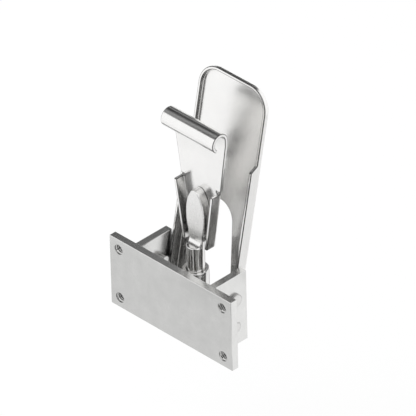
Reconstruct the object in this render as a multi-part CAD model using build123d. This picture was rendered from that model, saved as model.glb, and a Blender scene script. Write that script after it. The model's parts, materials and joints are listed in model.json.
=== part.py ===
"""Paddle latch: a plate-mounted handle that pulls a hooked plate down through a sprung rod.

Millimetres. The origin is the centre of the plate's mounting face. +Z is up the handle, +Y runs
from the mounting face towards the arms, and X is across the width. Closed over centre, the link
pin lies just past the line from the hook through the pivot.
"""

import os
from math import cos, radians, sin

from build123d import *

# Mounting plate and the two arms that stand on its back
PLATE_WIDTH = 100.0
PLATE_THICKNESS = 5.0
PLATE_HEIGHT = 48.0
SCREW_HOLE_DIAMETER = 6.6
SCREW_PITCH_X = 85.0
SCREW_PITCH_Z = 34.0
ARM_GAP = 56.0
ARM_THICKNESS = 5.0
ARM_DEPTH = 24.5
EDGE_BREAK = 0.3

# Cross axes, all along X, as (Y, Z)
PIVOT_AXIS = (20.5, -12.0)
LINK_AXIS = (21.0, -20.0)
STOP_AXIS = (19.7, 8.2)

# Handle: a pan pressed from sheet, with cheeks that reach down to the pivot and the link pin
SHEET = 2.0
HANDLE_LEAN = 12.0
HANDLE_WIDTH = 54.0
HANDLE_TOP = 146.5
HANDLE_FOOT = -6.0
HANDLE_CORNER = 14.0
HANDLE_BEND = 2.5
HANDLE_BACK = 9.07
FLANGE_DEPTH = 8.6
RIM_DEPTH = 4.3
RIM_START = 98.6
RIM_STEP_RISE = 3.6
RIM_STEP_FILLET = 1.5
WINDOW_TOP = 67.3
WINDOW_RADIUS = 12.0
WINDOW_WIDTH = 32.0
WINDOW_SHOULDER = 27.0
PIVOT_LOBE_RADIUS = 6.5
LINK_LOBE_RADIUS = 3.9

# Pivot, stop and link hardware
RIVET_DIAMETER = 7.0
RIVET_STAND = 0.4
RIVET_REACH = 24.8
BUSH_DIAMETER = 8.6
BUSH_FLANGE_DIAMETER = 12.0
BUSH_FLANGE = 0.95
RUNNING_CLEARANCE = 0.05
STOP_DIAMETER = 6.0
STOP_HEAD_DIAMETER = 8.0
STOP_STAND = 2.0
STOP_REACH = 24.0
LINK_DIAMETER = 5.0
CLIP_DIAMETER = 8.0
CLIP_THICKNESS = 0.6
CLIP_GROOVE_DIAMETER = 4.2
CLIP_REACH = 24.3
SLEEVE_DIAMETER = 7.0
EYE_WIDTH = 8.0
EYE_SIDE_GAP = 0.3

# Barrel, on the rod's axis
ROD_Y = 21.0
BARREL_DIAMETER = 15.5
BARREL_BORE = 13.1
BARREL_BOTTOM = -14.5
BARREL_TOP = 12.5
CAP_TOP = 14.5
CAP_SPIGOT = 6.0
CAP_LEAD_IN = 0.6
EYE_SPIGOT = 2.3
EYE_RADIUS = 3.9

# Rod and what it carries
ROD_DIAMETER = 11.0
ROD_SHOULDER = 31.0
ROD_SHOULDER_CHAMFER = 0.7
SHANK_BOTTOM = 6.6
STEM_DIAMETER = 6.0
STEM_BOTTOM = -11.5
PALM_WIDTH = 15.0
PALM_LOW = 32.0
PALM_HIGH = 68.0
PALM_CHAMFER = 0.6
NECK_TOP = 40.0
COVE_RADIUS = 3.0
NUT_FLATS = 10.0
NUT_HEIGHT = 5.0
SEAT_THICKNESS = 1.0
SEAT_DIAMETER = 12.5
WASHER_THICKNESS = 1.2
WASHER_BORE = 6.6
SPRING_DIAMETER = 12.4
SPRING_WIRE = 1.6
SPRING_TURNS = 3.5

# Hook plate: tapered sheet with two side flanges and a rolled bar along its top
HOOK_FRONT = ROD_Y + ROD_DIAMETER / 2
HOOK_LOW = 31.0
HOOK_LOW_WIDTH = 20.0
HOOK_TOP = 106.0
HOOK_TOP_WIDTH = 42.4
HOOK_FLANGE_TOP = 70.0
HOOK_FLANGE_DEPTH = 8.0
HOOK_BEND = 2.4
HOOK_RELIEF = 1.4
ROLL_INNER_RADIUS = 4.1
ROLL_Z = 110.0
ROLL_ARC = 235.0


def across(diameter, x_from, x_to, axis):
    """A cylinder along X between two X positions, on an axis given as (Y, Z)."""
    middle = Pos((x_from + x_to) / 2, *axis)
    return middle * Rot(0, 90, 0) * Cylinder(diameter / 2, abs(x_to - x_from))


def upright(diameter, z_from, z_to):
    """A cylinder on the rod's axis between two heights."""
    return Pos(0, ROD_Y, (z_from + z_to) / 2) * Cylinder(diameter / 2, z_to - z_from)


def mounting_plate():
    """Flat plate with a clearance hole near each corner."""
    plate = Pos(0, PLATE_THICKNESS / 2, 0) * Box(PLATE_WIDTH, PLATE_THICKNESS, PLATE_HEIGHT)
    plate = chamfer(plate.edges(), EDGE_BREAK)
    for x in (-SCREW_PITCH_X / 2, SCREW_PITCH_X / 2):
        for z in (-SCREW_PITCH_Z / 2, SCREW_PITCH_Z / 2):
            hole = Cylinder(SCREW_HOLE_DIAMETER / 2, 3 * PLATE_THICKNESS)
            plate -= Pos(x, 0, z) * Rot(90, 0, 0) * hole
    return plate


def arm(side):
    """Square bearer arm; side is -1 on the left and 1 on the right."""
    x = side * (ARM_GAP + ARM_THICKNESS) / 2
    y = PLATE_THICKNESS + ARM_DEPTH / 2
    block = Pos(x, y, 0) * Box(ARM_THICKNESS, ARM_DEPTH, PLATE_HEIGHT)
    free_edges = block.edges().filter_by(lambda edge: edge.center().Y > PLATE_THICKNESS + 1)
    block = chamfer(free_edges, EDGE_BREAK)
    block -= across(RIVET_DIAMETER, x - ARM_THICKNESS, x + ARM_THICKNESS, PIVOT_AXIS)
    return block - across(STOP_DIAMETER, x - ARM_THICKNESS, x + ARM_THICKNESS, STOP_AXIS)


def outer_face():
    """X of the arms' outer faces on the right side."""
    return ARM_GAP / 2 + ARM_THICKNESS


def outboard_edges(pin, side):
    """The edges round the end of a pin that stands outside the arm."""
    return pin.faces().sort_by(Axis.X)[-1 if side > 0 else 0].edges()


def pivot_rivet(side):
    """Rivet pressed in the arm, whose journal carries the handle's bush."""
    pin = across(RIVET_DIAMETER, side * RIVET_REACH, side * (outer_face() + RIVET_STAND), PIVOT_AXIS)
    return chamfer(outboard_edges(pin, side), RIVET_STAND * 0.9)


def stop_pin(side):
    """Headed pin through the arm, whose inner end stops the closed handle."""
    shank = across(STOP_DIAMETER, side * STOP_REACH, side * outer_face(), STOP_AXIS)
    head_end = side * (outer_face() + STOP_STAND)
    head = across(STOP_HEAD_DIAMETER, side * outer_face(), head_end, STOP_AXIS)
    return shank + chamfer(outboard_edges(head, side), EDGE_BREAK)


def handle_place():
    """Place of the handle's own frame: origin on the pivot axis, y up the handle, z rearward."""
    lean = radians(HANDLE_LEAN)
    plane = Plane(origin=(0, *PIVOT_AXIS), x_dir=(-1, 0, 0), z_dir=(0, cos(lean), -sin(lean)))
    return plane.location


def in_handle_frame(axis):
    """An axis given as (Y, Z), as (height, depth) in the handle's frame."""
    lean = radians(HANDLE_LEAN)
    rearward = axis[0] - PIVOT_AXIS[0]
    upward = axis[1] - PIVOT_AXIS[1]
    height = rearward * sin(lean) + upward * cos(lean)
    depth = rearward * cos(lean) - upward * sin(lean)
    return height, depth


def tongue_outline(width, bottom, top, corner):
    """Upright rectangle with its two upper corners rounded."""
    outline = Pos(0, (bottom + top) / 2) * Rectangle(width, top - bottom)
    return fillet(outline.vertices().group_by(Axis.Y)[-1], corner)


def pressed_block(width, bottom, top, corner, front, back, bend):
    """Tongue-shaped block between two depths, its rear edges rounded except at the foot."""
    block = extrude(Pos(0, 0, front) * tongue_outline(width, bottom, top, corner), back - front)
    rear = block.faces().sort_by(Axis.Z)[-1].edges()
    return fillet(rear.filter_by(lambda edge: edge.center().Y > bottom + 0.01), bend)


def handle_pan():
    """The pan in the handle's frame: back, side flanges and the shallower rim round its top."""
    front = HANDLE_BACK - FLANGE_DEPTH
    outer = pressed_block(
        HANDLE_WIDTH, HANDLE_FOOT, HANDLE_TOP, HANDLE_CORNER, front, HANDLE_BACK, HANDLE_BEND
    )
    inner = pressed_block(
        HANDLE_WIDTH - 2 * SHEET,
        HANDLE_FOOT - SHEET,
        HANDLE_TOP - SHEET,
        HANDLE_CORNER - SHEET,
        front - SHEET,
        HANDLE_BACK - SHEET,
        HANDLE_BEND - SHEET,
    )
    return outer - inner - rim_step(front) - window()


def rim_step(front):
    """What is cut away in front of the rim, with a slanted, rounded step down to the flanges."""
    rim_front = HANDLE_BACK - RIM_DEPTH
    low = RIM_START - RIM_STEP_RISE / 2
    high = RIM_START + RIM_STEP_RISE / 2
    far = HANDLE_TOP + SHEET
    corners = [(-far, front), (-low, front), (-high, rim_front), (-far, rim_front)]
    profile = make_face(Polyline(*corners, close=True))
    at_step = profile.vertices().sort_by(Axis.X)[-2:]
    profile = fillet(at_step.sort_by(Axis.X)[0], RIM_STEP_FILLET)
    # The profile's x is minus the handle's height and its y is the handle's depth.
    side_on = Plane(origin=(0, 0, 0), x_dir=(0, -1, 0), z_dir=(-1, 0, 0))
    return extrude(side_on * profile, HANDLE_WIDTH, both=True)


def window():
    """The arched window in the back, which widens downwards and is open at the foot."""
    arch = Pos(0, WINDOW_TOP - WINDOW_RADIUS) * Circle(WINDOW_RADIUS)
    foot = HANDLE_FOOT - SHEET
    legs = Pos(0, (WINDOW_SHOULDER + foot) / 2) * Rectangle(WINDOW_WIDTH, WINDOW_SHOULDER - foot)
    outline = make_hull(arch.edges() + legs.edges())
    return extrude(outline, 2 * HANDLE_BACK)


def cheek(side):
    """The lobed end of a side flange, round the pivot bush and the link pin."""
    inner_x = HANDLE_WIDTH / 2 - SHEET
    pivot_lobe = Circle(PIVOT_LOBE_RADIUS)
    height, depth = in_handle_frame(LINK_AXIS)
    link_lobe = Pos(-height, depth) * Circle(LINK_LOBE_RADIUS)
    outline = make_hull(pivot_lobe.edges() + link_lobe.edges())
    side_on = Plane(origin=(side * inner_x, 0, 0), x_dir=(0, -1, 0), z_dir=(-1, 0, 0))
    return extrude(side_on * outline, -side * SHEET)


def paddle():
    """The handle, one pressing with its cheeks bored for the bushes and the link pin."""
    pressing = handle_pan() + cheek(-1) + cheek(1)
    pressing = handle_place() * pressing
    half = HANDLE_WIDTH / 2
    pressing -= across(BUSH_DIAMETER, -half, half, PIVOT_AXIS)
    return pressing - across(LINK_DIAMETER, -half, half, LINK_AXIS)


def pivot_bush(side):
    """Flanged bush in a cheek, running on the pivot rivet."""
    inner_x = HANDLE_WIDTH / 2 - SHEET
    outer_x = HANDLE_WIDTH / 2
    body = across(BUSH_DIAMETER, side * inner_x, side * outer_x, PIVOT_AXIS)
    flange_end = side * (outer_x + BUSH_FLANGE)
    flange = across(BUSH_FLANGE_DIAMETER, side * outer_x, flange_end, PIVOT_AXIS)
    bore = RIVET_DIAMETER + 2 * RUNNING_CLEARANCE
    return body + flange - across(bore, side * (inner_x - 1), side * (outer_x + 2), PIVOT_AXIS)


def link_pin():
    """Cross pin between the cheeks, grooved for its two clips."""
    half = HANDLE_WIDTH / 2
    pin = across(LINK_DIAMETER, -half, half, LINK_AXIS)
    pin = chamfer(pin.edges().filter_by(GeomType.CIRCLE), EDGE_BREAK)
    for side in (-1, 1):
        groove_end = side * (CLIP_REACH + CLIP_THICKNESS)
        groove = across(2 * LINK_DIAMETER, side * CLIP_REACH, groove_end, LINK_AXIS)
        pin -= groove - across(CLIP_GROOVE_DIAMETER, -half, half, LINK_AXIS)
    return pin


def link_pin_clip(side):
    """Retaining clip, open towards the rear so that it snaps on from there."""
    end = side * (CLIP_REACH + CLIP_THICKNESS)
    clip = across(CLIP_DIAMETER, side * CLIP_REACH, end, LINK_AXIS)
    clip -= across(CLIP_GROOVE_DIAMETER, side * CLIP_REACH, end, LINK_AXIS)
    mouth = Box(4 * CLIP_THICKNESS, CLIP_DIAMETER, CLIP_GROOVE_DIAMETER * 0.8)
    return clip - Pos(end, LINK_AXIS[0] + CLIP_DIAMETER / 2, LINK_AXIS[1]) * mouth


def spacer_sleeve(side):
    """Sleeve on the link pin between the barrel's eye and a clip."""
    near = side * (EYE_WIDTH / 2 + EYE_SIDE_GAP)
    far = side * (CLIP_REACH - 0.1)
    sleeve = across(SLEEVE_DIAMETER, near, far, LINK_AXIS)
    return sleeve - across(LINK_DIAMETER, near, far, LINK_AXIS)


def barrel_tube():
    """Plain tube that houses the spring."""
    tube = upright(BARREL_DIAMETER, BARREL_BOTTOM, BARREL_TOP)
    return tube - upright(BARREL_BORE, BARREL_BOTTOM, BARREL_TOP)


def guide_cap():
    """Collar in the tube's mouth that guides the rod."""
    collar = upright(BARREL_DIAMETER, BARREL_TOP, CAP_TOP)
    collar = chamfer(collar.faces().sort_by(Axis.Z)[-1].edges(), EDGE_BREAK)
    collar += upright(BARREL_BORE, BARREL_TOP - CAP_SPIGOT, BARREL_TOP)
    bore = ROD_DIAMETER + 2 * RUNNING_CLEARANCE
    collar -= upright(bore, BARREL_TOP - CAP_SPIGOT, CAP_TOP)
    mouth = collar.faces().sort_by(Axis.Z)[-1].edges().sort_by(SortBy.LENGTH)[0]
    return chamfer(mouth, CAP_LEAD_IN)


def barrel_eye():
    """Plug in the tube's lower end with the eye that turns on the link pin."""
    y, z = LINK_AXIS
    plug = upright(BARREL_BORE, BARREL_BOTTOM, BARREL_BOTTOM + EYE_SPIGOT)
    neck_top = BARREL_BOTTOM + EYE_SPIGOT / 2
    plug += Pos(0, y, (z + neck_top) / 2) * Box(EYE_WIDTH, 2 * EYE_RADIUS, neck_top - z)
    plug += across(2 * EYE_RADIUS, -EYE_WIDTH / 2, EYE_WIDTH / 2, LINK_AXIS)
    bore = LINK_DIAMETER + 2 * RUNNING_CLEARANCE
    return plug - across(bore, -EYE_WIDTH, EYE_WIDTH, LINK_AXIS)


def washer_top():
    """Height of the upper spring washer's top face, against the cap's spigot."""
    return BARREL_TOP - CAP_SPIGOT


def seat_bottom():
    """Height of the spring seat's lower face, on the rod's nut."""
    return STEM_BOTTOM + NUT_HEIGHT


def spring_washer():
    """Washer between the spring and the guide cap."""
    disc = upright(BARREL_BORE - 0.1, washer_top() - WASHER_THICKNESS, washer_top())
    return disc - upright(WASHER_BORE, washer_top() - WASHER_THICKNESS, washer_top())


def spring_seat():
    """Washer under the spring, carried by the rod."""
    disc = upright(SEAT_DIAMETER, seat_bottom(), seat_bottom() + SEAT_THICKNESS)
    return disc - upright(STEM_DIAMETER, seat_bottom(), seat_bottom() + SEAT_THICKNESS)


def rod_nut():
    """Hexagonal nut on the end of the stem."""
    hexagon = RegularPolygon(NUT_FLATS / 2, 6, major_radius=False)
    nut = extrude(Pos(0, ROD_Y, STEM_BOTTOM) * hexagon, NUT_HEIGHT)
    return nut - upright(STEM_DIAMETER, STEM_BOTTOM, seat_bottom())


def spring():
    """Compression spring between the seat and the washer, its wire drawn with six flats."""
    low = seat_bottom() + SEAT_THICKNESS
    high = washer_top() - WASHER_THICKNESS
    height = high - low - SPRING_WIRE
    radius = (SPRING_DIAMETER - SPRING_WIRE) / 2
    start = Pos(0, ROD_Y, low + SPRING_WIRE / 2)
    path = start * Helix(pitch=height / SPRING_TURNS, height=height, radius=radius)
    section = Plane(origin=path @ 0, z_dir=path % 0) * RegularPolygon(SPRING_WIRE / 2, 6)
    return sweep(section, path=path, is_frenet=True)


def draw_rod():
    """Round rod with a stem below and a half-thickness oval palm above."""
    shank = upright(ROD_DIAMETER, SHANK_BOTTOM, ROD_SHOULDER)
    shank = chamfer(shank.faces().sort_by(Axis.Z)[-1].edges(), ROD_SHOULDER_CHAMFER)
    behind = Pos(0, ROD_Y + ROD_DIAMETER / 2, 0) * Box(ROD_DIAMETER, ROD_DIAMETER, 4 * NECK_TOP)
    neck = upright(ROD_DIAMETER, ROD_SHOULDER - ROD_SHOULDER_CHAMFER, NECK_TOP) & behind
    stem = upright(STEM_DIAMETER, STEM_BOTTOM, SHANK_BOTTOM)
    return shank + neck + stem + palm() + cove()


def palm():
    """Oval pad that lies against the hook plate, its front edge chamfered."""
    middle = (PALM_LOW + PALM_HIGH) / 2
    oval = Ellipse(PALM_WIDTH / 2, (PALM_HIGH - PALM_LOW) / 2)
    facing = Plane(origin=(0, HOOK_FRONT, middle), x_dir=(1, 0, 0), z_dir=(0, -1, 0))
    pad = extrude(facing * oval, ROD_DIAMETER / 2)
    return chamfer(pad.faces().sort_by(Axis.Y)[0].edges(), PALM_CHAMFER)


def cove():
    """Hollow that blends the palm's face into the rod's shoulder."""
    y = ROD_Y - COVE_RADIUS / 2
    z = ROD_SHOULDER + COVE_RADIUS / 2
    block = Pos(0, y, z) * Box(ROD_DIAMETER, COVE_RADIUS, COVE_RADIUS)
    hollow_axis = (ROD_Y - COVE_RADIUS, ROD_SHOULDER + COVE_RADIUS)
    block -= across(2 * COVE_RADIUS, -ROD_DIAMETER, ROD_DIAMETER, hollow_axis)
    narrowed = ROD_DIAMETER - 2 * ROD_SHOULDER_CHAMFER
    return block & upright(narrowed, ROD_SHOULDER, ROD_SHOULDER + COVE_RADIUS)


def hook_half_width(z):
    """Half the hook plate's width at a height on its taper."""
    share = (z - HOOK_LOW) / (HOOK_TOP - HOOK_LOW)
    return (HOOK_LOW_WIDTH + share * (HOOK_TOP_WIDTH - HOOK_LOW_WIDTH)) / 2


def taper_prism(z_from, z_to, inset, y_from, y_to):
    """Tapered block between two heights, each side moved in from the hook plate's edge."""
    low = hook_half_width(z_from) - inset
    high = hook_half_width(z_to) - inset
    outline = make_face(Polyline((-low, z_from), (low, z_from), (high, z_to), (-high, z_to), close=True))
    facing = Plane(origin=(0, y_to, 0), x_dir=(1, 0, 0), z_dir=(0, -1, 0))
    return extrude(facing * outline, y_to - y_from)


def slanted_rear_edges(block):
    """The two long edges at the back of a tapered block."""
    rear = block.faces().sort_by(Axis.Y)[-1].edges()
    return rear.filter_by(lambda edge: abs(edge.center().X) > 1)


def hook_plate():
    """Tapered plate with side flanges along its lower half and the roll along its top."""
    back = HOOK_FRONT + SHEET
    flange_front = back - HOOK_FLANGE_DEPTH
    channel = taper_prism(HOOK_LOW, HOOK_FLANGE_TOP, 0, flange_front, back)
    channel = fillet(slanted_rear_edges(channel), HOOK_BEND)
    hollow = taper_prism(HOOK_LOW, HOOK_FLANGE_TOP, SHEET, flange_front, HOOK_FRONT)
    channel -= fillet(slanted_rear_edges(hollow), HOOK_BEND - SHEET)
    upper = taper_prism(HOOK_FLANGE_TOP, HOOK_TOP, 0, HOOK_FRONT, back)
    for side in (-1, 1):
        x = side * hook_half_width(HOOK_FLANGE_TOP)
        relief = Box(2 * HOOK_BEND + HOOK_RELIEF, 4 * SHEET, HOOK_RELIEF)
        upper -= Pos(x, back, HOOK_FLANGE_TOP + HOOK_RELIEF / 2) * relief
    return channel + upper + roll()


def roll():
    """Rolled bar along the hook plate's top, open underneath for the keeper."""
    outer = ROLL_INNER_RADIUS + SHEET
    centre = (HOOK_FRONT - ROLL_INNER_RADIUS, ROLL_Z)
    arcs = [CenterArc(centre, radius, 0, ROLL_ARC) for radius in (ROLL_INNER_RADIUS, outer)]
    tip = Line(arcs[0] @ 1, arcs[1] @ 1)
    outside = Line(arcs[1] @ 0, (HOOK_FRONT + SHEET, HOOK_TOP))
    foot = Line((HOOK_FRONT + SHEET, HOOK_TOP), (HOOK_FRONT, HOOK_TOP))
    inside = Line((HOOK_FRONT, HOOK_TOP), arcs[0] @ 0)
    profile = make_face([*arcs, tip, outside, foot, inside])
    return extrude(Plane.YZ * profile, HOOK_TOP_WIDTH / 2, both=True)


PIECES = {
    "mounting_plate": mounting_plate,
    "paddle": paddle,
    "link_pin": link_pin,
    "barrel_tube": barrel_tube,
    "guide_cap": guide_cap,
    "barrel_eye": barrel_eye,
    "spring_washer": spring_washer,
    "spring": spring,
    "draw_rod": draw_rod,
    "hook_plate": hook_plate,
    "spring_seat": spring_seat,
    "rod_nut": rod_nut,
}
PAIRED_PIECES = {
    "{}_arm": arm,
    "pivot_rivet_{}": pivot_rivet,
    "stop_pin_{}": stop_pin,
    "pivot_bush_{}": pivot_bush,
    "link_pin_clip_{}": link_pin_clip,
    "spacer_sleeve_{}": spacer_sleeve,
}

os.makedirs("parts", exist_ok=True)
for name, make in PIECES.items():
    export_step(make(), f"parts/{name}.step")
for pattern, make in PAIRED_PIECES.items():
    for word, side in (("left", -1), ("right", 1)):
        export_step(make(side), f"parts/{pattern.format(word)}.step")
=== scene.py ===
"""Looks of the paddle latch: polished and satin stainless steel on a plain white studio floor.

Metres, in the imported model's frame: +Z up the handle, +Y from the mounting face to the arms' ends.
"""
import json
from math import cos, radians, sin, tau

import bmesh
import bpy
from mathutils import Matrix, Vector


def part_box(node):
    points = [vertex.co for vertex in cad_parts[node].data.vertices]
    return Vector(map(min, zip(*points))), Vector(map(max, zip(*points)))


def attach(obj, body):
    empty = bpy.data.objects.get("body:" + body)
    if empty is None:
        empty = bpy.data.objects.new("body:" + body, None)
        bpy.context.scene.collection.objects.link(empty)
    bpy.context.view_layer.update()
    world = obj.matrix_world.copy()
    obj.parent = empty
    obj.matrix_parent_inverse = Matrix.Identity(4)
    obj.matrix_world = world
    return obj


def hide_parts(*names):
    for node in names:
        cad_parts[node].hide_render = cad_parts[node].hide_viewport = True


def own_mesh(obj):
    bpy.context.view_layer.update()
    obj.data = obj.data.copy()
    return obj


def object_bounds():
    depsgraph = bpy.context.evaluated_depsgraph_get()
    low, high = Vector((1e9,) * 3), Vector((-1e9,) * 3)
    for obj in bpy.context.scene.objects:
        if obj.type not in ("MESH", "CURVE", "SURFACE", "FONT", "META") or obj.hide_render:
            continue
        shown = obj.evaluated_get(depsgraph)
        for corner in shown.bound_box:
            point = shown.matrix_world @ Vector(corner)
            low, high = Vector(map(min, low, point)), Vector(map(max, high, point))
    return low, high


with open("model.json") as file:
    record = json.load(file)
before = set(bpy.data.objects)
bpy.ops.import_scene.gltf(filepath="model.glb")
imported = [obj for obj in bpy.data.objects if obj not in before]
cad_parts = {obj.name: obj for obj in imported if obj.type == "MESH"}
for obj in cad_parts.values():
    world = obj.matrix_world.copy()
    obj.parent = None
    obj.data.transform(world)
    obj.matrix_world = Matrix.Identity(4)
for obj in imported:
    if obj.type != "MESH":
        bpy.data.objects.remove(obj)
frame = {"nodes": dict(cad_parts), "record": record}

CAD_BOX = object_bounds()
MM = 0.001

# Camera: a long lens from the front right, above. Angles in degrees, lens and sensor in mm.
CAMERA_TARGET = Vector((0.0, 15 * MM, 56 * MM))
CAMERA_AZIMUTH = 46.12
CAMERA_ELEVATION = 34.69
CAMERA_ROLL = -1.46
CAMERA_DISTANCE = 5.0
CAMERA_LENS = 752.3
CAMERA_SENSOR = 36.0
CAMERA_REACH = 20.0
AIM_RIGHT = 12.1 * MM
AIM_UP = 2.6 * MM

# Floor, world and key lamp
FLOOR_SIZE = 6.0
FLOOR_DROP = 80 * MM
FLOOR_SHADE = 0.95
FLOOR_GLOW = 0.78
SEEN_LEVEL = 1.0
LIGHT_LEVEL = 1.0
KEY_DIRECTION = Vector((-0.7, -0.6, 0.9)).normalized()
KEY_DISTANCE = 0.8
KEY_SIZE = 0.5
KEY_WATTS = 1.2

# Card above the latch, behind it and to its left. Its stripes turn from dark to light between the
# two heights of STRIPE_EDGE on a wave.
OVERHEAD_DIRECTION = Vector((-0.6, 0.3, 0.75)).normalized()
OVERHEAD_DISTANCE = 0.5
OVERHEAD_SIZE = (0.9, 0.9)
OVERHEAD_DARK = 0.05
OVERHEAD_LIGHT = 0.35
STRIPE_FREQUENCY = 1.4
STRIPE_EDGE = (0.7, 0.9)

# Cards that lie below the latch, CARD_GAP apart. Sizes and places are in plate widths: the front
# card's place is from the mounting face's middle, and the side card's from the rod.
CARD_GAP = 0.2 * MM
RING_SIZE = (5.2, 5.2)
FRONT_SIZE = (1.6, 0.58)
FRONT_PLACE = (-0.2, -0.29)
FRONT_SHADE = 0.71
SIDE_SIZE = (1.6, 1.6)
SIDE_PLACE = (1.3, 1.3)
SIDE_SHADE = 0.8

# Dark card that stands on the camera's side of the latch, its height counted from the low cards
CAMERA_CARD_DIRECTION = Vector((0.62, -0.78, 0.0)).normalized()
CAMERA_CARD_DISTANCE = 0.22
CAMERA_CARD_HEIGHT = 0.12
CAMERA_CARD_SIZE = (0.2, 0.24)
CAMERA_CARD_SHADE = 0.08

# Shades of the ring card that upright round pieces mirror, as (azimuth in degrees, shade)
RING_SHADES = (
    (-180, 0.15), (-166, 0.15), (-160, 0.95), (-118, 0.95), (-112, 0.12), (-96, 0.12), (-90, 0.95),
    (-66, 0.95), (-60, 0.1), (-38, 0.1), (-32, 0.95), (96, 0.95), (104, 0.1), (112, 0.1),
    (118, 0.95), (124, 0.95), (130, 0.08), (148, 0.08), (154, 0.9), (168, 0.9), (180, 0.15),
)

# Steel: clouds, polishing grain, edges with a painted tone, and painted shade where faces stand close
# together.
# Roughness goes over GLOSS_SPREAD, in shares, as clouds and grain together go over GLOSS_RANGE.
# EDGE_BEND is the cosine of the bend at which an edge has its full painted tone.
CLOUD_DETAIL = 5.0
CLOUD_ROUGHNESS = 0.6
CLOUD_RANGE = (0.32, 0.68)
GRAIN_DETAIL = 3.0
GRAIN_HEIGHT = 0.05 * MM
GLOSS_RANGE = (0.7, 1.3)
GLOSS_SPREAD = (0.8, 1.25)
EDGE_SAMPLES = 6
EDGE_BEND = 0.8
# Painted shade from ambient occlusion: the colour darkens near other faces within this reach
PAINTED_SHADE_SAMPLES = 8
PAINTED_SHADE_REACH = 20 * MM
PAINTED_SHADE_RANGE = (0.1, 0.75)

# Grain frequency along X, Y and Z, in cycles per metre
GRAIN_ALONG_X = (200.0, 9000.0, 9000.0)
GRAIN_ALONG_Z = (9000.0, 9000.0, 200.0)
GRAIN_TURNED = (400.0, 400.0, 9000.0)

# Rounding of the pressed sheet's cut edges and of the rod's edges, where they turn outwards by
# more than SHARP_ANGLE. Shading is smooth over edges that turn by less than SMOOTH_ANGLE.
PADDLE_EDGE = 0.5 * MM
HOOK_EDGE = 0.4 * MM
ROD_EDGE = 0.25 * MM
ROUND_SEGMENTS = 4
ROUND_PROFILE = 0.5
MERGE_DISTANCE = 0.02 * MM
FLAT_ANGLE = radians(0.3)
SHARP_ANGLE = radians(50)
SMOOTH_ANGLE = radians(32)
AREA_WEIGHT = 100

# Order of a softened piece's finishes
FACE_FINISH = 0
EDGE_FINISH = 1
SATIN_FINISH = 2

# Screw threads in the plate's holes. Foot and crest are half widths, in pitches. The foot stands
# THREAD_SEAT inside the hole's wall, and the helix ends THREAD_MARGIN short of the plate's faces.
THREAD_PITCH = 1.25 * MM
THREAD_DEPTH = 0.6 * MM
THREAD_FOOT = 0.45
THREAD_CREST = 0.06
THREAD_SEAT = 0.02 * MM
THREAD_MARGIN = 0.75 * MM
THREAD_TURN_STEPS = 36
THREAD_SIDES = 4

# Spring.
SPRING_WIRE = 1.6 * MM
SPRING_DIAMETER = 12.4 * MM
SPRING_TURNS = 3.5
SPRING_TURN_STEPS = 48
SPRING_SIDES = 12


def grey(shade):
    """An opaque grey."""
    return (shade, shade, shade, 1)


def make_camera():
    """The camera, rolled slightly, looking at the latch from the front right."""
    azimuth, elevation = radians(CAMERA_AZIMUTH), radians(CAMERA_ELEVATION)
    roll = radians(CAMERA_ROLL)
    back = Vector((sin(azimuth) * cos(elevation), -cos(azimuth) * cos(elevation), sin(elevation)))
    level = Vector((cos(azimuth), sin(azimuth), 0.0))
    rise = back.cross(level)
    right = cos(roll) * level + sin(roll) * rise
    up = -sin(roll) * level + cos(roll) * rise
    data = bpy.data.cameras.new("camera")
    data.lens = CAMERA_LENS
    data.sensor_width = CAMERA_SENSOR
    data.clip_end = CAMERA_REACH
    camera = bpy.data.objects.new("camera", data)
    bpy.context.scene.collection.objects.link(camera)
    aim = CAMERA_TARGET + AIM_RIGHT * right + AIM_UP * up
    turn = Matrix((right, up, back)).transposed().to_4x4()
    camera.matrix_world = Matrix.Translation(aim + CAMERA_DISTANCE * back) @ turn
    bpy.context.scene.camera = camera


def seen_directly(nodes, links):
    """A factor of 1 for camera, glossy and transmission rays, and 0 for others."""
    path = nodes.new("ShaderNodeLightPath")
    seen = path.outputs["Is Camera Ray"]
    for other in ("Is Glossy Ray", "Is Transmission Ray"):
        add = nodes.new("ShaderNodeMath")
        add.operation = "ADD"
        add.use_clamp = True
        links.new(seen, add.inputs[0])
        links.new(path.outputs[other], add.inputs[1])
        seen = add.outputs[0]
    return seen


def make_world():
    """A white world, with one level where it is seen or mirrored and one as a light."""
    world = bpy.data.worlds.new("studio")
    world.use_nodes = True
    nodes, links = world.node_tree.nodes, world.node_tree.links
    nodes.clear()
    out = nodes.new("ShaderNodeOutputWorld")
    mix = nodes.new("ShaderNodeMixShader")
    links.new(seen_directly(nodes, links), mix.inputs[0])
    for socket, level in ((mix.inputs[1], LIGHT_LEVEL), (mix.inputs[2], SEEN_LEVEL)):
        white = nodes.new("ShaderNodeBackground")
        white.inputs["Color"].default_value = grey(1)
        white.inputs["Strength"].default_value = level
        links.new(white.outputs[0], socket)
    links.new(mix.outputs[0], out.inputs[0])
    bpy.context.scene.world = world


def plane(name, size_x, size_y):
    """A flat rectangle facing its own +Z."""
    mesh = bpy.data.meshes.new(name)
    x, y = size_x / 2, size_y / 2
    mesh.from_pydata([(-x, -y, 0), (x, -y, 0), (x, y, 0), (-x, y, 0)], [], [(0, 1, 2, 3)])
    piece = bpy.data.objects.new(name, mesh)
    bpy.context.scene.collection.objects.link(piece)
    return piece


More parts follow.
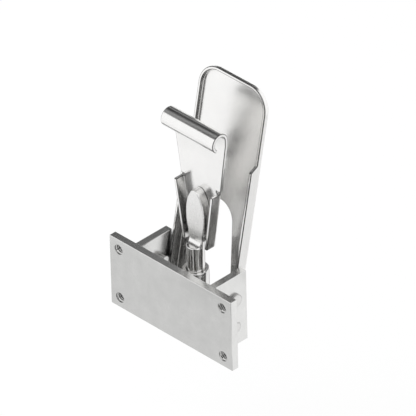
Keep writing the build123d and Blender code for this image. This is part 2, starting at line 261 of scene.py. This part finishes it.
def make_floor():
    """Plain white floor, low enough to leave room for the handle when it folds down."""
    floor = plane("floor", FLOOR_SIZE, FLOOR_SIZE)
    floor.location.z = CAD_BOX[0].z - FLOOR_DROP
    material = bpy.data.materials.new("floor_white")
    material.use_nodes = True
    nodes, links = material.node_tree.nodes, material.node_tree.links
    nodes.clear()
    out = nodes.new("ShaderNodeOutputMaterial")
    paint = nodes.new("ShaderNodeBsdfDiffuse")
    paint.inputs["Color"].default_value = grey(FLOOR_SHADE)
    glow = nodes.new("ShaderNodeEmission")
    glow.inputs["Color"].default_value = grey(1)
    share = nodes.new("ShaderNodeMath")
    share.operation = "MULTIPLY"
    share.inputs[1].default_value = FLOOR_GLOW
    mix = nodes.new("ShaderNodeMixShader")
    links.new(seen_directly(nodes, links), share.inputs[0])
    links.new(share.outputs[0], mix.inputs[0])
    links.new(paint.outputs[0], mix.inputs[1])
    links.new(glow.outputs[0], mix.inputs[2])
    links.new(mix.outputs[0], out.inputs[0])
    floor.data.materials.append(material)


def make_key_lamp():
    """Soft square lamp aimed at the latch, which reflections don't see."""
    data = bpy.data.lights.new("key", "AREA")
    data.size = KEY_SIZE
    data.energy = KEY_WATTS
    lamp = bpy.data.objects.new("key", data)
    lamp.visible_glossy = False
    bpy.context.scene.collection.objects.link(lamp)
    lamp.location = CAMERA_TARGET + KEY_DISTANCE * KEY_DIRECTION
    lamp.rotation_mode = "QUATERNION"
    lamp.rotation_quaternion = KEY_DIRECTION.to_track_quat("Z", "Y")


def reflection_card(name, place, direction, size):
    """A studio card that only reflections see, turned to face back along a direction."""
    card = plane(name, *size)
    card.location = place
    card.rotation_mode = "QUATERNION"
    card.rotation_quaternion = (-Vector(direction)).to_track_quat("Z", "Y")
    card.visible_camera = False
    card.visible_diffuse = False
    card.visible_shadow = False
    card.visible_transmission = False
    return card


def glowing(card):
    """Makes a card glow, and returns its material's nodes and links and the glow's colour."""
    material = bpy.data.materials.new(card.name)
    material.use_nodes = True
    nodes, links = material.node_tree.nodes, material.node_tree.links
    nodes.clear()
    out = nodes.new("ShaderNodeOutputMaterial")
    glow = nodes.new("ShaderNodeEmission")
    links.new(glow.outputs[0], out.inputs[0])
    card.data.materials.append(material)
    return nodes, links, glow.inputs["Color"]


def plain(card, shade):
    """An even glow."""
    _, _, colour = glowing(card)
    colour.default_value = grey(shade)


def striped(card, dark, light, frequency):
    """A glow in soft level stripes."""
    nodes, links, colour = glowing(card)
    centre = nodes.new("ShaderNodeTexCoord")
    wave = nodes.new("ShaderNodeTexWave")
    wave.bands_direction = "Y"
    wave.inputs["Scale"].default_value = frequency
    wave.inputs["Distortion"].default_value = 0.0
    ramp = nodes.new("ShaderNodeValToRGB")
    for stop, shade, position in zip(ramp.color_ramp.elements, (dark, light), STRIPE_EDGE):
        stop.color = grey(shade)
        stop.position = position
    links.new(centre.outputs["Object"], wave.inputs["Vector"])
    links.new(wave.outputs["Fac"], ramp.inputs["Fac"])
    links.new(ramp.outputs["Color"], colour)


def ringed(card, shades):
    """A glow whose shade depends on the direction round the card's centre."""
    nodes, links, colour = glowing(card)
    centre = nodes.new("ShaderNodeTexCoord")
    around = nodes.new("ShaderNodeTexGradient")
    around.gradient_type = "RADIAL"
    ramp = nodes.new("ShaderNodeValToRGB")
    stops = ramp.color_ramp.elements
    for azimuth, shade in shades[1:-1]:
        stops.new((azimuth + 180) / 360).color = grey(shade)
    stops[0].color = grey(shades[0][1])
    stops[len(stops) - 1].color = grey(shades[-1][1])
    links.new(centre.outputs["Object"], around.inputs["Vector"])
    links.new(around.outputs["Fac"], ramp.inputs["Fac"])
    links.new(ramp.outputs["Color"], colour)


def make_cards():
    """Cards that shade what the steel mirrors: above, round, before and beside the latch."""
    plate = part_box("mounting_plate")
    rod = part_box("draw_rod")
    width = plate[1].x - plate[0].x
    rod_y = (rod[0].y + rod[1].y) / 2
    card_z = CAD_BOX[0].z - CARD_GAP
    ring_z = card_z - CARD_GAP

    def low_card(name, place, size):
        """A card that lies flat below the latch, its size in plate widths."""
        return reflection_card(name, place, (0, 0, -1), [side * width for side in size])

    overhead_place = CAMERA_TARGET + OVERHEAD_DISTANCE * OVERHEAD_DIRECTION
    overhead = reflection_card("overhead_card", overhead_place, OVERHEAD_DIRECTION, OVERHEAD_SIZE)
    striped(overhead, OVERHEAD_DARK, OVERHEAD_LIGHT, STRIPE_FREQUENCY)

    ringed(low_card("ring_card", Vector((0, rod_y, ring_z)), RING_SIZE), RING_SHADES)
    x, y = FRONT_PLACE
    front_place = Vector((x * width, plate[0].y + y * width, card_z))
    plain(low_card("front_card", front_place, FRONT_SIZE), FRONT_SHADE)
    x, y = SIDE_PLACE
    side_place = Vector((x * width, rod_y + y * width, card_z))
    plain(low_card("side_card", side_place, SIDE_SIZE), SIDE_SHADE)

    rise = Vector((0, 0, card_z + CAMERA_CARD_HEIGHT))
    camera_place = CAMERA_CARD_DISTANCE * CAMERA_CARD_DIRECTION + rise
    card = reflection_card("camera_card", camera_place, CAMERA_CARD_DIRECTION, CAMERA_CARD_SIZE)
    plain(card, CAMERA_CARD_SHADE)


def map_range(nodes, links, value, from_range, to_range):
    """A value moved from one range to another, and held within its limits."""
    moved = nodes.new("ShaderNodeMapRange")
    moved.inputs["From Min"].default_value, moved.inputs["From Max"].default_value = from_range
    moved.inputs["To Min"].default_value, moved.inputs["To Max"].default_value = to_range
    links.new(value, moved.inputs["Value"])
    return moved.outputs["Result"]


def cloud_noise(nodes, links, place, scale):
    """Soft clouds over a surface."""
    cloud = nodes.new("ShaderNodeTexNoise")
    cloud.inputs["Scale"].default_value = scale
    cloud.inputs["Detail"].default_value = CLOUD_DETAIL
    cloud.inputs["Roughness"].default_value = CLOUD_ROUGHNESS
    links.new(place, cloud.inputs["Vector"])
    return cloud.outputs["Fac"]


def grain_noise(nodes, links, place, grain):
    """Noise drawn out into polishing lines."""
    stretch = nodes.new("ShaderNodeMapping")
    stretch.inputs["Scale"].default_value = grain
    links.new(place, stretch.inputs["Vector"])
    lines = nodes.new("ShaderNodeTexNoise")
    lines.inputs["Scale"].default_value = 1.0
    lines.inputs["Detail"].default_value = GRAIN_DETAIL
    links.new(stretch.outputs["Vector"], lines.inputs["Vector"])
    return lines.outputs["Fac"]


def soft_edges(nodes, links, radius):
    """The normal as rounded over sharp edges, and a factor that is 1 along those edges."""
    bevel = nodes.new("ShaderNodeBevel")
    bevel.samples = EDGE_SAMPLES
    bevel.inputs["Radius"].default_value = radius
    shape = nodes.new("ShaderNodeNewGeometry")
    bend = nodes.new("ShaderNodeVectorMath")
    bend.operation = "DOT_PRODUCT"
    links.new(bevel.outputs["Normal"], bend.inputs[0])
    links.new(shape.outputs["Normal"], bend.inputs[1])
    edge = map_range(nodes, links, bend.outputs["Value"], (1.0, EDGE_BEND), (0.0, 1.0))
    return bevel.outputs["Normal"], edge


def clouded_tone(nodes, links, cloud, edge, tint, cloud_depth, painted_edge_tone):
    """The tint, darker by the clouds' depth in patches, with painted shade along edges."""
    tone = nodes.new("ShaderNodeValToRGB")
    dark = [channel * (1 - cloud_depth) for channel in tint]
    for stop, colour, position in zip(tone.color_ramp.elements, (dark, tint), CLOUD_RANGE):
        stop.position = position
        stop.color = (*colour, 1)
    links.new(cloud, tone.inputs["Fac"])
    # Painted shade: sharp edges are mixed towards painted_edge_tone
    painted_edge = nodes.new("ShaderNodeMix")
    painted_edge.data_type = "RGBA"
    painted_edge.inputs["B"].default_value = grey(painted_edge_tone)
    links.new(edge, painted_edge.inputs["Factor"])
    links.new(tone.outputs["Color"], painted_edge.inputs["A"])
    return painted_edge.outputs["Result"]


def painted_crevice_shade(nodes, links, colour, painted_shade_share):
    """A colour with painted shade, taken from ambient occlusion, where faces stand close together."""
    near = nodes.new("ShaderNodeAmbientOcclusion")
    near.samples = PAINTED_SHADE_SAMPLES
    near.inputs["Distance"].default_value = PAINTED_SHADE_REACH
    shaded = nodes.new("ShaderNodeVectorMath")
    shaded.operation = "SCALE"
    share = map_range(nodes, links, near.outputs["AO"], PAINTED_SHADE_RANGE, (painted_shade_share, 1.0))
    links.new(colour, shaded.inputs[0])
    links.new(share, shaded.inputs["Scale"])
    return shaded.outputs["Vector"]


def uneven_gloss(nodes, links, cloud, lines, roughness):
    """A roughness that varies with the clouds and the grain."""
    both = nodes.new("ShaderNodeMath")
    both.operation = "ADD"
    links.new(cloud, both.inputs[0])
    links.new(lines, both.inputs[1])
    spread = [roughness * share for share in GLOSS_SPREAD]
    return map_range(nodes, links, both.outputs[0], GLOSS_RANGE, spread)


def steel(name, tint, roughness, grain, cloud_scale, painted_shade_share=0.6, edge_radius=0.2 * MM,
          painted_edge_tone=0.93, cloud_depth=0.06, bump=0.02):
    """Stainless steel: clouded tone, directional polishing grain, softened edges with a painted edge
    tone, painted shade in crevices.

    painted_shade_share is the share of the tone that the painted crevice shade leaves where faces stand
    closest, painted_edge_tone the painted tone along sharp edges, and bump the strength of the grain.
    """
    material = bpy.data.materials.new(name)
    material.use_nodes = True
    nodes, links = material.node_tree.nodes, material.node_tree.links
    shader = nodes["Principled BSDF"]
    shader.inputs["Metallic"].default_value = 1.0
    place = nodes.new("ShaderNodeTexCoord").outputs["Object"]
    cloud = cloud_noise(nodes, links, place, cloud_scale)
    lines = grain_noise(nodes, links, place, grain)
    normal, edge = soft_edges(nodes, links, edge_radius)
    tone = clouded_tone(nodes, links, cloud, edge, tint, cloud_depth, painted_edge_tone)
    # Base colour with painted crevice shade
    links.new(painted_crevice_shade(nodes, links, tone, painted_shade_share), shader.inputs["Base Color"])
    links.new(uneven_gloss(nodes, links, cloud, lines, roughness), shader.inputs["Roughness"])
    relief = nodes.new("ShaderNodeBump")
    relief.inputs["Strength"].default_value = bump
    relief.inputs["Distance"].default_value = GRAIN_HEIGHT
    links.new(lines, relief.inputs["Height"])
    links.new(normal, relief.inputs["Normal"])
    links.new(relief.outputs["Normal"], shader.inputs["Normal"])
    return material


def make_materials():
    """One finish for each of the record's material slots, and those of single surfaces."""
    light, pale, middle = (0.97, 0.965, 0.955), (0.86, 0.855, 0.845), (0.76, 0.755, 0.745)
    # painted_shade_share sets how far the painted crevice shade darkens, painted_edge_tone the painted
    # tone along edges
    finishes = {
        "frame_steel": dict(tint=(0.82, 0.82, 0.81), roughness=0.22, grain=GRAIN_ALONG_X,
                            cloud_scale=90.0, painted_shade_share=0.75, painted_edge_tone=0.7, cloud_depth=0.08),
        "sheet_steel": dict(tint=light, roughness=0.18, grain=GRAIN_ALONG_Z, cloud_scale=60.0,
                            painted_shade_share=0.7),
        "paddle_steel": dict(tint=light, roughness=0.22, grain=GRAIN_ALONG_Z, cloud_scale=45.0,
                             painted_shade_share=0.1),
        "palm_steel": dict(tint=light, roughness=0.26, grain=GRAIN_ALONG_Z, cloud_scale=60.0),
        # Finish of the rounded edge faces: its dark tint is a painted reflection that draws dark lines
        # along edges
        "painted_edge_steel": dict(tint=(0.2, 0.198, 0.195), roughness=0.12, grain=GRAIN_TURNED,
                           cloud_scale=200.0, painted_edge_tone=0.3, bump=0.0),
        "thread_steel": dict(tint=pale, roughness=0.08, grain=GRAIN_TURNED, cloud_scale=200.0,
                             painted_shade_share=0.15, bump=0.0),
        "turned_steel": dict(tint=pale, roughness=0.10, grain=GRAIN_TURNED, cloud_scale=120.0,
                             painted_shade_share=0.85),
        "hardware_steel": dict(tint=middle, roughness=0.18, grain=GRAIN_TURNED, cloud_scale=150.0,
                               painted_shade_share=0.05, edge_radius=0.9 * MM, painted_edge_tone=0.1),
        "spring_steel": dict(tint=(0.5, 0.5, 0.5), roughness=0.3, grain=GRAIN_TURNED,
                             cloud_scale=200.0),
        "bush_bronze": dict(tint=(0.72, 0.5, 0.24), roughness=0.35, grain=GRAIN_TURNED,
                            cloud_scale=300.0, cloud_depth=0.2),
    }
    return {name: steel(name, **finish) for name, finish in finishes.items()}


def body_of(node):
    """The body that carries a node."""
    bodies = frame["record"]["behaviour"]["bodies"]
    return next(body for body, members in bodies.items() if node in members)


def dress_nodes(materials):
    """Gives every CAD node the finish of its material slot."""
    for row in frame["record"]["subparts"]:
        node = frame["nodes"][row["node"]]
        node.data.materials.clear()
        node.data.materials.append(materials[row["material_slot"]])


def smooth_piece(mesh, *materials):
    """A piece named after its mesh, smooth apart from its sharp edges, in its finishes."""
    mesh.polygons.foreach_set("use_smooth", [True] * len(mesh.polygons))
    mesh.set_sharp_from_angle(angle=SMOOTH_ANGLE)
    for material in materials:
        mesh.materials.append(material)
    piece = bpy.data.objects.new(mesh.name, mesh)
    bpy.context.scene.collection.objects.link(piece)
    return piece


def softened(node, radius, material, edge_material):
    """A copy of a CAD node whose outer edges are rounded, which stands for the node."""
    form = bmesh.new()
    form.from_mesh(frame["nodes"][node].data)
    bmesh.ops.remove_doubles(form, verts=form.verts, dist=MERGE_DISTANCE)
    bmesh.ops.dissolve_limit(form, angle_limit=FLAT_ANGLE, verts=form.verts, edges=form.edges)
    sharp = [
        edge for edge in form.edges
        if len(edge.link_faces) == 2 and edge.calc_face_angle_signed() > SHARP_ANGLE
    ]
    rounded = bmesh.ops.bevel(
        form, geom=sharp, offset=radius, offset_type="OFFSET", segments=ROUND_SEGMENTS,
        profile=ROUND_PROFILE, affect="EDGES", clamp_overlap=False,
    )
    # Rounded edge faces take the finish with the painted dark reflection
    for face in rounded["faces"]:
        face.material_index = EDGE_FINISH
    mesh = bpy.data.meshes.new(f"{node}_softened")
    form.to_mesh(mesh)
    form.free()
    piece = smooth_piece(mesh, material, edge_material)
    even = piece.modifiers.new("even_faces", "WEIGHTED_NORMAL")
    even.weight = AREA_WEIGHT
    even.keep_sharp = True
    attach(piece, body_of(node))
    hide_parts(node)
    return piece


def satin_above(piece, material, height):
    """Gives a softened piece another finish above a height, apart from its rounded edges."""
    piece.data.materials.append(material)
    for face in piece.data.polygons:
        if face.center.z > height and face.material_index == FACE_FINISH:
            face.material_index = SATIN_FINISH


def swept_faces(first, rings, sides):
    """Faces of a closed bar through rings of points, whose numbers start at first."""
    last = first + (rings - 1) * sides
    faces = [tuple(range(first, first + sides)), tuple(reversed(range(last, last + sides)))]
    for here in range(first, last, sides):
        there = here + sides
        for side in range(sides):
            after = (side + 1) % sides
            faces.append((here + side, there + side, there + after, here + after))
    return faces


def thread_points(x, z, near, far, root):
    """Rings of points along the thread of one hole, from one depth to another."""
    crest = root - THREAD_DEPTH
    profile = ((root, -THREAD_FOOT), (crest, -THREAD_CREST), (crest, THREAD_CREST), (root, THREAD_FOOT))
    turns = (far - near) / THREAD_PITCH
    steps = int(THREAD_TURN_STEPS * turns)
    points = []
    for step in range(steps + 1):
        angle = tau * turns * step / steps
        y = near + (far - near) * step / steps
        for reach, shift in profile:
            point = (x + reach * cos(angle), y + shift * THREAD_PITCH, z + reach * sin(angle))
            points.append(point)
    return points


def make_threads(material):
    """Screw threads in the plate's four holes."""
    pattern = next(row for row in frame["record"]["mounts"] if row["name"] == "screw_holes")
    dims = pattern["dims"]
    root = dims["hole_r_mm"] * MM + THREAD_SEAT
    half_x, half_z = dims["spacing_x_mm"] / 2 * MM, dims["spacing_y_mm"] / 2 * MM
    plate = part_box("mounting_plate")
    near, far = plate[0].y + THREAD_MARGIN, plate[1].y - THREAD_MARGIN
    points, faces = [], []
    for x in (-half_x, half_x):
        for z in (-half_z, half_z):
            thread = thread_points(x, z, near, far, root)
            faces += swept_faces(len(points), len(thread) // THREAD_SIDES, THREAD_SIDES)
            points += thread
    mesh = bpy.data.meshes.new("screw_threads")
    mesh.from_pydata(points, [], faces)
    threads = smooth_piece(mesh, material)
    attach(threads, body_of("mounting_plate"))


def make_spring(material):
    """Round-wire compression spring, wound from the spring seat up to the washer."""
    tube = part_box("barrel_tube")
    rod_y = (tube[0].y + tube[1].y) / 2
    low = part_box("spring_seat")[1].z + SPRING_WIRE / 2
    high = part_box("spring_washer")[0].z - SPRING_WIRE / 2
    radius = (SPRING_DIAMETER - SPRING_WIRE) / 2
    slope = (high - low) / (tau * SPRING_TURNS)
    steps = int(SPRING_TURN_STEPS * SPRING_TURNS)
    points = []
    for step in range(steps + 1):
        turn = tau * SPRING_TURNS * step / steps
        outward = Vector((cos(turn), sin(turn), 0))
        along = Vector((-radius * sin(turn), radius * cos(turn), slope)).normalized()
        aside = outward.cross(along)
        middle = Vector((0, rod_y, low + slope * turn)) + radius * outward
        for side in range(SPRING_SIDES):
            angle = tau * side / SPRING_SIDES
            points.append(middle + SPRING_WIRE / 2 * (cos(angle) * outward + sin(angle) * aside))
    mesh = bpy.data.meshes.new("spring_coils")
    mesh.from_pydata(points, [], swept_faces(0, steps + 1, SPRING_SIDES))
    coils = smooth_piece(mesh, material)
    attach(coils, body_of("spring"))
    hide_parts("spring")
    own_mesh(coils)


make_camera()
make_world()
make_floor()
make_key_lamp()
make_cards()
finishes = make_materials()
dress_nodes(finishes)
softened("paddle", PADDLE_EDGE, finishes["paddle_steel"], finishes["painted_edge_steel"])
softened("hook_plate", HOOK_EDGE, finishes["sheet_steel"], finishes["painted_edge_steel"])
rod = softened("draw_rod", ROD_EDGE, finishes["turned_steel"], finishes["painted_edge_steel"])
satin_above(rod, finishes["palm_steel"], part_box("hook_plate")[0].z)
make_threads(finishes["thread_steel"])
make_spring(finishes["spring_steel"])

bpy.context.scene.view_settings.view_transform = "Standard"
